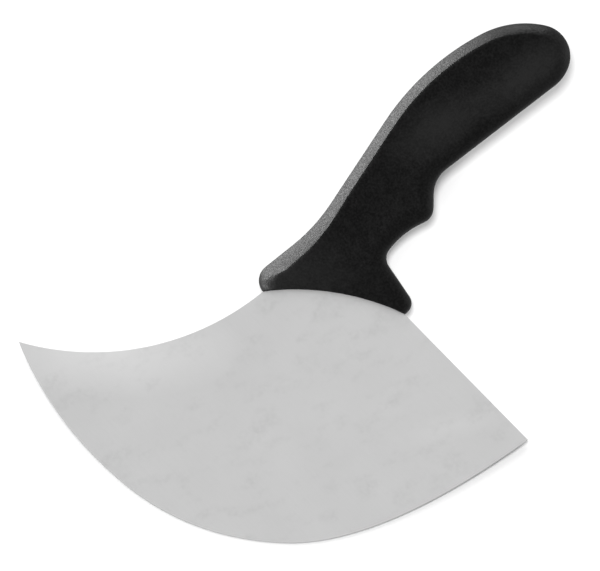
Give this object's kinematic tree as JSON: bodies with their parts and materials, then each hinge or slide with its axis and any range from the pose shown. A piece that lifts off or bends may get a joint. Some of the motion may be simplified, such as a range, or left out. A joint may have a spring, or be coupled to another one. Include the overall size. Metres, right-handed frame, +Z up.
{
  "type": "pizza knife",
  "caption": "Half-moon pizza knife: wide stainless blade with a long curved edge, hollowed back and straight heel, on a black moulded handle with a finger notch and palm swell.",
  "frame": {"origin": "under the middle of the bounding box, on the surface that the knife lies on", "axes": "+Z up from the table, +X along the bolster line from the blade's tip to its heel, +Y from the cutting edge towards the butt of the handle; the blade leans 4.04 degrees, because the knife lies on its edge and its bolster"},
  "size_m": [0.2216, 0.2368, 0.0287],
  "materials": {
    "blade_steel": "satin stainless",
    "core_plastic": "plain moulded",
    "grip_plastic": "fine spark-eroded grain, matte"
  },
  "bodies": {
    "root": {"blade": "blade_steel", "handle_core": "core_plastic", "handle_grip": "grip_plastic"}
  },
  "joints": []
}
